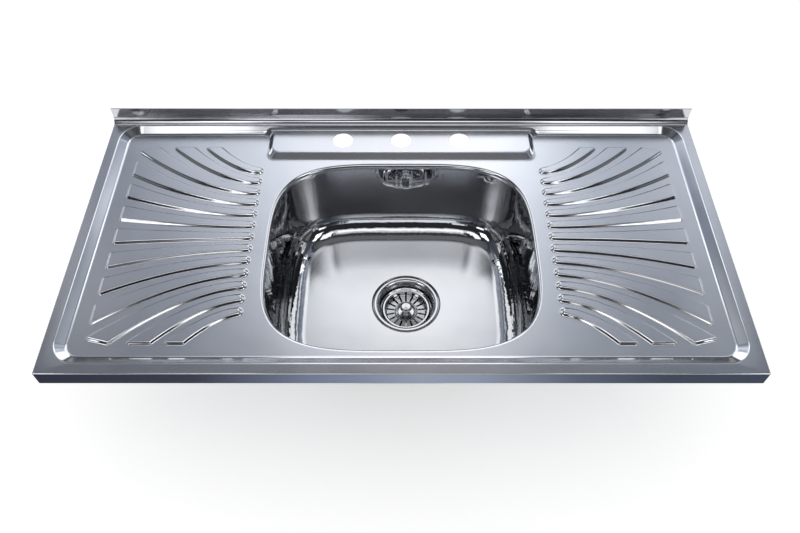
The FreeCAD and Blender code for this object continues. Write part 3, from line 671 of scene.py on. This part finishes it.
def drainboard_panel():
    """The whole pressed sheet: ribs, the pressed plate between them, folds, upstand and collar.

    The plate's mesh has lines along the slopes of recess and ledge, and loose spots over the
    ledge's ends, where the two run into each other.
    """
    patches, feet = [], []
    for hand in (-1, 1):
        for index in RIBS:
            rib, foot = rib_patches(index, hand)
            patches += rib
            feet.append(foot)
    half, front = HALF_LENGTH - FOLD, -HALF_DEPTH + FOLD
    outline = np.array([(-half, front), (half, front), (half, BEND_Y), (-half, BEND_Y)])
    holes = feet + [opening(-ROLL)[0]]
    holes += [circle(64, tap)(TAP_BORE / 2)[0] for tap in TAPS]
    either_side = np.array([1, 0.5, 0, -0.5, -1])
    lines = [ring(RECESS, RECESS_CORNER, SWAGE_RUN * (1 - t))
             for t in (*(1 + SWAGE_CREST * either_side), 0.5, *(SWAGE_FOOT * either_side))]
    lines += [ledge_line(t) for t in (-0.25, -0.12, 0, 0.12, 0.25, 0.5, 0.78, 0.89, 1, 1.11, 1.22)]
    lines += [np.array([(-204.0, y), (204.0, y)]) for y in np.arange(224.0, 233.0, 1.5)]
    gx, gy = np.meshgrid(np.arange(206.0, 246.0, 2.0), np.arange(152.0, 238.0, 2.0))
    spots = [(x, y) for hand in (-1, 1) for x, y in zip((hand * gx).ravel(), gy.ravel())]
    patches.append(plate(outline, holes, lines, spots, pressing))
    patches += [folded_edges(), upstand(), roll_and_collar()]
    return shell(patches, SHEET)


piece("pressed_panel", drainboard_panel(), panel_steel, "sink", ["drainboard_panel"])


# ---- Bowl --------------------------------------------------------------------------------
def bowl():
    """Drawn walls, a floor that falls to the waste, and the seat round it.

    The floor joins the wall's foot line to the seat's circle by straight lines P = (1 - u) foot
    + u seat. It drops along u: ever steeper up to u = 0.2 and evenly from there.
    """
    reach = (WELD_Z - FLOOR_Z) * math.tan(WALL_DRAFT)
    path = rounded([(0, WELD_Z), (reach, FLOOR_Z), (reach + FLOOR_FILLET + 10, FLOOR_Z)],
                   [FLOOR_FILLET], steps=16)[:-1]
    walls = carried(opening, path)
    foot, _ = opening(path[-1, 0])
    centre = np.array(DRAIN)
    way = unit(foot - centre)
    seat = centre + SEAT_EDGE * way
    u = np.array([0, 0.05, 0.1, 0.15, 0.2, 0.4, 0.6, 0.8, 1.0])[:, None]
    drop = FLOOR_FALL * ramp(u - 0.1, 0.1) / 0.9
    steep = FLOOR_FALL * np.clip(u / 0.2, 0, 1) / 0.9 / np.linalg.norm(foot - seat, axis=1)
    plan = foot[None] + u[..., None] * (seat - foot)[None]
    level = np.broadcast_to(FLOOR_Z - drop, plan.shape[:2])
    points = np.concatenate([plan, level[..., None]], 2)
    normals = unit(np.concatenate([-steep[..., None] * way[None], np.ones((*steep.shape, 1))], 2))
    seat_path = rounded([(SEAT_EDGE, FLOOR_Z - FLOOR_FALL), (SEAT_STEP, SEAT_Z),
                         (SEAT_BORE, SEAT_Z)], [0.5], side=-1)
    seat_patch = carried(lambda radius: (centre + radius * way, way), seat_path, -1)
    return shell([walls, cells(points, normals, closed=True), seat_patch], SHEET)


piece("drawn_bowl", bowl(), bowl_steel, "sink", ["bowl"])


# ---- Waste -------------------------------------------------------------------------------
def waste_flange():
    """Flange with a crowned rim, throat, conical seat and cup, and the cup's drilled base."""
    side = turned([(57, FLANGE_Z - 2.2), (57, FLANGE_Z - 1), (53.4, FLANGE_Z),
                   (49.6, FLANGE_Z - 0.2), (46.9, FLANGE_Z - 2), (45.4, FLANGE_Z - 6),
                   (44, CUP_TOP_Z + 3), (38.5, CUP_TOP_Z), (37.5, CUP_BASE_Z),
                   (CUP_EDGE, CUP_BASE_Z)], [0.8, 6, 6, 3, 8, 1.2, 0.8, 2.5])
    outlets, outlet_ring, outlet_radius, screw_radius = 8, 21, 5.5, 3.05
    middles = [(DRAIN[0] + outlet_ring * math.cos(a), DRAIN[1] + outlet_ring * math.sin(a))
               for a in 2 * math.pi * np.arange(outlets) / outlets]
    holes = [circle(20, middle)(outlet_radius)[0] for middle in middles]
    holes.append(circle(24)(screw_radius)[0])
    base = plate(circle(96)(CUP_EDGE)[0], holes, [], [],
                 lambda x, y: np.full(np.shape(x), CUP_BASE_Z))
    return shell([side, base], SHEET)


def strainer_basket():
    """Slotted cup with a domed middle, turned about the waste's axis.

    Each sector has six columns of cells: three over a slot, set by the angle asin(half its
    width / radius) so that the slot keeps its width, and three over the bar beside it. The
    slot's cells are left out; its ends are narrower by the outer two, which rounds them.
    """
    floor_z = BASKET_FLOOR_Z
    path = rounded([(39.8, LIP_Z - 0.9), (39.8, LIP_Z), (36.8, LIP_Z), (35.4, LIP_Z - 1.6),
                    (34.7, floor_z + 2.4), (32.6, floor_z + 0.3), (19.8, floor_z + 1.4),
                    (17.5, CENTRE_Z + 1.2), (13, CENTRE_Z), (3.3, CENTRE_Z)],
                   [0.7, 0.8, 0.8, 1.6, 1.6, 0.8, 1.2, 3.0], side=-1)
    slots, width, row = 18, 3.2, 0.55
    run = np.concatenate([[0], np.cumsum(np.hypot(*np.diff(path[:, :2], axis=0).T))])
    fine = np.unique(np.round(np.concatenate([run, np.arange(0, run[-1], row)]), 3))
    path = np.column_stack([np.interp(fine, run, path[:, i]) for i in range(4)])
    path[:, 2:] = unit(path[:, 2:])
    sector = 2 * math.pi / slots
    half = np.arcsin(width / 2 / np.maximum(path[:, 0], 12))[:, None]
    share = np.array([0.0, 0.35, 0.65])
    offsets = np.concatenate([half * np.array([-1, -0.6, 0.6]),
                              half + (sector - 2 * half) * share], 1)
    angles = ((np.arange(slots) + 0.5) * sector)[None, :, None] + offsets[:, None, :]
    angles = angles.reshape(len(path), -1)
    r, z = path[:, :1], np.broadcast_to(path[:, 1:2], angles.shape)
    points = np.stack([DRAIN[0] + r * np.cos(angles), DRAIN[1] + r * np.sin(angles), z], 2)
    normals = np.stack([path[:, 2:3] * np.cos(angles), path[:, 2:3] * np.sin(angles),
                        np.broadcast_to(path[:, 3:4], angles.shape)], 2)
    middle_r = (path[:-1, 0] + path[1:, 0]) / 2
    middle_z = (path[:-1, 1] + path[1:, 1]) / 2 - floor_z
    slot = (middle_r > 20.8) & (middle_z < 7.4) & ((middle_r < 33.8) | (middle_z > 2.6))
    core = (middle_r > 20.4) & (middle_z < 7.9)
    column = np.arange(angles.shape[1]) % 6
    open_cell = (slot[:, None] & (column < 3)[None]) | (core[:, None] & (column == 1)[None])
    return shell([cells(points, normals, closed=True, keep=~open_cell)], BASKET_SHEET)


def basket_knob():
    """Lifting knob turned about the basket's axis: a broad cap over a narrow neck."""
    base, top = CENTRE_Z + 0.3, KNOB_TOP_Z
    return shell([turned([(0, base), (6, base), (6, base + 1.2), (5, base + 3), (5.6, base + 6),
                          (9, top - 4.6), (10.5, top - 3), (10.5, top - 1.5), (7.5, top - 0.4),
                          (0, top)], [0.3, 0.6, 2.5, 8, 3, 1.6, 1.2, 4], steps=6)])


piece("waste_flange_pressing", waste_flange(), flange_steel, "sink", ["waste_flange"])
piece("slotted_basket", strainer_basket(), waste_steel, "basket", ["strainer_basket"])
piece("lifting_knob", basket_knob(), waste_steel, "lift_post", ["basket_knob"])


# ---- Pieces that keep their solid shape --------------------------------------------------
FINISHES = {
    "stiffener": bare_steel, "bracket": zinc, "fixing_screws": zinc, "clamp_screw": zinc,
    "damping_pad": bitumen, "seal": rubber, "waste_body": plastic, "thread_insert": brass,
    "basket_spindle": waste_steel, "spindle_clip": waste_steel,
}
for name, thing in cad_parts.items():
    for ending, material in FINISHES.items():
        if name.endswith(ending):
            thing.data.materials.clear()
            thing.data.materials.append(material)


# ---- Camera ------------------------------------------------------------------------------
CAMERA_PLACE = (-0.003, -0.739, 0.923)    # metres
PITCH, YAW, TILT = 53.19, 0.08, -0.08     # degrees down, to the right and about the view
FRAME_MM, FRAME_PIXELS, FOCAL_PIXELS = 36.0, 800.0, 748.1


def camera():
    """Camera at the photograph's viewing angle."""
    seen = bpy.data.cameras.new("camera")
    seen.sensor_width, seen.lens = FRAME_MM, FOCAL_PIXELS * FRAME_MM / FRAME_PIXELS
    seen.clip_start, seen.clip_end = 0.05, 60.0
    thing = placed("camera", seen)
    turn = (Matrix.Rotation(-math.radians(YAW), 4, "Z")
            @ Matrix.Rotation(math.pi / 2 - math.radians(PITCH), 4, "X")
            @ Matrix.Rotation(-math.radians(TILT), 4, "Z"))
    thing.matrix_world = Matrix.Translation(CAMERA_PLACE) @ turn
    bpy.context.scene.camera = thing


camera()


# ---- Studio ------------------------------------------------------------------------------
GROUND = -0.2102          # metres; the floor is 0.3 mm under the sink's lowest point
FLOOR_HALF = 5.0
ROOM_LIGHT, WHITE = 0.85, 1.0             # the world as it lights the sink, and as it is seen
FLOOR_GLOW = 0.35         # lifts the seen floor to white and leaves the shadow on it


def seen_rays(tree):
    """1 for camera, glossy and transmission rays, which all see the white background."""
    path = node(tree, "LightPath").outputs
    two = node(tree, "Math", {0: path["Is Camera Ray"], 1: path["Is Glossy Ray"]},
               operation="MAXIMUM").outputs[0]
    return node(tree, "Math", {0: two, 1: path["Is Transmission Ray"]},
                operation="MAXIMUM").outputs[0]


def studio():
    """White room: the world's even light and a white floor."""
    scene = bpy.context.scene
    scene.view_settings.view_transform = "Standard"
    world = bpy.data.worlds.new("studio")
    scene.world = world
    world.use_nodes = True
    tree = world.node_tree
    tree.nodes.clear()
    strength = node(tree, "MapRange", {"Value": seen_rays(tree), "To Min": ROOM_LIGHT,
                                       "To Max": WHITE}).outputs[0]
    light = node(tree, "Background", {"Color": (1, 1, 1, 1), "Strength": strength})
    tree.links.new(light.outputs[0], node(tree, "OutputWorld").inputs["Surface"])

    corners, face = level_sheet(FLOOR_HALF, -FLOOR_HALF, FLOOR_HALF, GROUND)
    mesh = bpy.data.meshes.new("floor")
    mesh.from_pydata(corners, [], face)
    material, tree, output = blank("white_floor")
    glow = node(tree, "Math", {0: seen_rays(tree), 1: FLOOR_GLOW}, operation="MULTIPLY").outputs[0]
    paint = node(tree, "BsdfPrincipled", {"Base Color": colour("#f4f4f4"), "Roughness": 0.9,
                                          "Specular IOR Level": 0.0, "Emission Color": (1, 1, 1, 1),
                                          "Emission Strength": glow})
    tree.links.new(paint.outputs[0], output.inputs["Surface"])
    mesh.materials.append(material)
    floor = placed("floor", mesh)


# ---- Light tent --------------------------------------------------------------------------
# Polished steel has no look of its own, so it is photographed inside a tent of lit cloth. Places
# on the tent are directions from its middle: their parts across (X), to the rear (Y) and up (Z).
TENT_RADIUS, TENT_LIGHT = 8.0, 1.6        # metres, strength
CLOTH = (0.02, 0.021, 0.024)              # the dark cloth's own tone, added everywhere
# Screen behind: its tone across and the share of it by height, as (place, sRGB hex) pairs.
SCREEN_ACROSS = [(-0.6, "#3a3d44"), (-0.5, "#42464f"), (-0.44, "#525761"), (-0.38, "#6b717c"),
                 (-0.30, "#969ca7"), (-0.20, "#b4bbc3"), (-0.14, "#d8dce3"), (-0.06, "#f8f9fc"),
                 (0.06, "#fbfbfd"), (0.15, "#f6f7fb"), (0.20, "#c8d0da"), (0.30, "#9097a2"),
                 (0.37, "#666d78"), (0.43, "#7e8690"), (0.5, "#6a707a"), (0.6, "#3a3d44")]
SCREEN_UP = [(-1.0, "#303030"), (0.3, "#303030"), (0.4, "#787878"), (0.5, "#b0b0b0"),
             (0.58, "#ffffff"), (0.70, "#ffffff"), (0.77, "#d8d8d8"), (0.86, "#d8d8d8"),
             (0.88, "#404040"), (1.0, "#3c3c3c")]
SCREEN_FADE = (-0.3, 0.05)                # from no screen in front to all of it behind
# Softboxes in front of the sink (Y under -0.1) and behind it (Y over 0): place across, half
# width, lowest, highest, level.
IN_FRONT = [(-0.54, 0.06, 0.69, 0.80, 2.6), (0.54, 0.06, 0.69, 0.80, 2.6),
            (-0.52, 0.07, 0.28, 0.40, 1.5), (0.52, 0.07, 0.28, 0.40, 1.5),
            (-0.50, 0.12, 0.08, 0.25, 0.8), (0.50, 0.12, 0.08, 0.25, 0.8),
            (0.0, 0.75, -0.1, 0.05, 0.16), (-0.155, 0.075, 0.1, 0.42, 0.75),
            (0.0, 0.12, 0.84, 0.93, 0.6), (-0.29, 0.07, 0.85, 0.95, 1.15),
            (0.29, 0.07, 0.85, 0.95, 1.1), (0.0, 0.28, 0.79, 0.87, 0.6),
            (-0.93, 0.09, 0.05, 0.5, 0.1), (0.93, 0.09, 0.05, 0.5, 0.1)]
BEHIND = [(0.0, 0.14, 0.80, 0.85, 0.65), (0.0, 0.17, 0.2, 0.45, 1.2),
          (0.42, 0.05, 0.56, 0.67, 0.45), (-0.47, 0.04, 0.69, 0.76, 0.3),
          (0.47, 0.03, 0.70, 0.76, 0.25), (-0.17, 0.05, 0.60, 0.67, 0.4),
          (0.17, 0.05, 0.60, 0.67, 0.6), (-0.29, 0.04, 0.58, 0.66, 0.25),
          (-0.68, 0.12, 0.25, 0.55, 0.8), (0.68, 0.12, 0.25, 0.55, 0.8),
          (0.0, 0.75, -0.1, 0.12, 0.2), (0.0, 0.75, 0.93, 1.0, 0.06),
          (-0.9, 0.12, 0.05, 0.5, 0.4), (0.9, 0.12, 0.05, 0.5, 0.4)]
SOFT_ACROSS, SOFT_UP = 0.03, 0.05         # how far a softbox's edges fade out
# Card on the floor in front: half width, front edge, rear edge and height in metres, strength,
# and its tone across.
CARD_HALF, CARD_FRONT, CARD_REAR, CARD_Z, CARD_LIGHT = 1.3, -0.75, -0.262, -0.2096, 1.5
CARD_ACROSS = [(-0.6, "#333540"), (-0.35, "#3c3e49"), (-0.15, "#727a8c"), (0.03, "#939aa8"),
               (0.12, "#8d95a3"), (0.3, "#5a6270"), (0.45, "#434955"), (0.6, "#434955")]


def graded(tree, value, stops):
    """Colour through the stops, (place, sRGB hex) pairs, as value runs along their places."""
    low, high = stops[0][0], stops[-1][0]
    share = node(tree, "MapRange", {"Value": value, "From Min": low, "From Max": high}).outputs[0]
    added = node(tree, "ValToRGB", {"Fac": share})
    elements = added.color_ramp.elements
    while len(elements) < len(stops):
        elements.new(0.5)
    for element, (spot, code) in zip(elements, stops):
        element.position, element.color = (spot - low) / (high - low), colour(code)
    return added.outputs[0]


def reflector(name, points, faces):
    """Lit cloth or card that only reflections see; gives its material's tree and output."""
    mesh = bpy.data.meshes.new(name)
    mesh.from_pydata(points, [], faces)
    material, tree, output = blank(name)
    mesh.materials.append(material)
    thing = placed(name, mesh)
    thing.visible_camera = thing.visible_diffuse = False
    thing.visible_shadow = thing.visible_transmission = False
    return tree, output


def tent():
    """Tent of dark cloth with a lit screen behind, and softboxes in front and behind.

    It is a sphere P = R (cos e cos a, cos e sin a, sin e), with e the angle up and a the angle
    round, in steps of 7.5 degrees.
    """
    a = np.linspace(0, 2 * math.pi, 49)[None, :]
    e = np.radians(np.linspace(-90, 90, 25))[:, None]
    sphere = TENT_RADIUS * np.stack([np.cos(e) * np.cos(a), np.cos(e) * np.sin(a),
                                     np.sin(e) + 0 * a], 2)
    points, _, faces = cells(sphere, sphere)
    tree, output = reflector("light_tent", points.tolist(), faces.tolist())
    way = node(tree, "VectorMath", {0: node(tree, "TexCoord").outputs["Object"]},
               operation="NORMALIZE").outputs[0]
    axis = node(tree, "SeparateXYZ", {0: way}).outputs

    def window(value, low, high, soft):
        """1 between low and high, falling to 0 over soft on each side."""
        rise, fall = (
            node(tree, "MapRange", {"Value": value, "From Min": least, "From Max": most,
                                    "To Min": start, "To Max": 1 - start},
                 interpolation_type="SMOOTHSTEP").outputs[0]
            for least, most, start in ((low - soft, low, 0.0), (high, high + soft, 1.0)))
        return node(tree, "Math", {0: rise, 1: fall}, operation="MULTIPLY").outputs[0]

    across = graded(tree, axis["X"], SCREEN_ACROSS)
    upwards = graded(tree, axis["Z"], SCREEN_UP)
    screen = node(tree, "VectorMath", {0: across, 1: upwards}, operation="MULTIPLY").outputs[0]
    fade = node(tree, "MapRange", {"Value": axis["Y"], "From Min": SCREEN_FADE[0],
                                   "From Max": SCREEN_FADE[1]},
                interpolation_type="SMOOTHSTEP").outputs[0]
    total = node(tree, "VectorMath", {0: screen, "Scale": fade}, operation="SCALE").outputs[0]
    in_front = node(tree, "Math", {0: axis["Y"], 1: -0.1}, operation="LESS_THAN").outputs[0]
    behind = node(tree, "Math", {0: axis["Y"], 1: 0.0}, operation="GREATER_THAN").outputs[0]
    boxes = [(in_front, box) for box in IN_FRONT] + [(behind, box) for box in BEHIND]
    for side, (x, half, low, high, level) in boxes:
        box = node(tree, "Math", {0: window(axis["X"], x - half, x + half, SOFT_ACROSS),
                                  1: window(axis["Z"], low, high, SOFT_UP)},
                   operation="MULTIPLY").outputs[0]
        box = node(tree, "Math", {0: box, 1: side}, operation="MULTIPLY").outputs[0]
        lit = node(tree, "VectorMath", {0: (level, level, level), "Scale": box},
                   operation="SCALE").outputs[0]
        total = node(tree, "VectorMath", {0: total, 1: lit}, operation="ADD").outputs[0]
    total = node(tree, "VectorMath", {0: total, 1: CLOTH}, operation="ADD").outputs[0]
    light = node(tree, "Emission", {"Color": total, "Strength": TENT_LIGHT})
    tree.links.new(light.outputs[0], output.inputs["Surface"])


def front_card():
    """Graded card on the floor in front, which the apron mirrors: pale in the middle."""
    corners, face = level_sheet(CARD_HALF, CARD_FRONT, CARD_REAR, CARD_Z)
    tree, output = reflector("graded_card", corners, face)
    place = node(tree, "SeparateXYZ", {0: node(tree, "TexCoord").outputs["Object"]}).outputs["X"]
    light = node(tree, "Emission", {"Color": graded(tree, place, CARD_ACROSS),
                                    "Strength": CARD_LIGHT})
    tree.links.new(light.outputs[0], output.inputs["Surface"])


studio()
tent()
front_card()
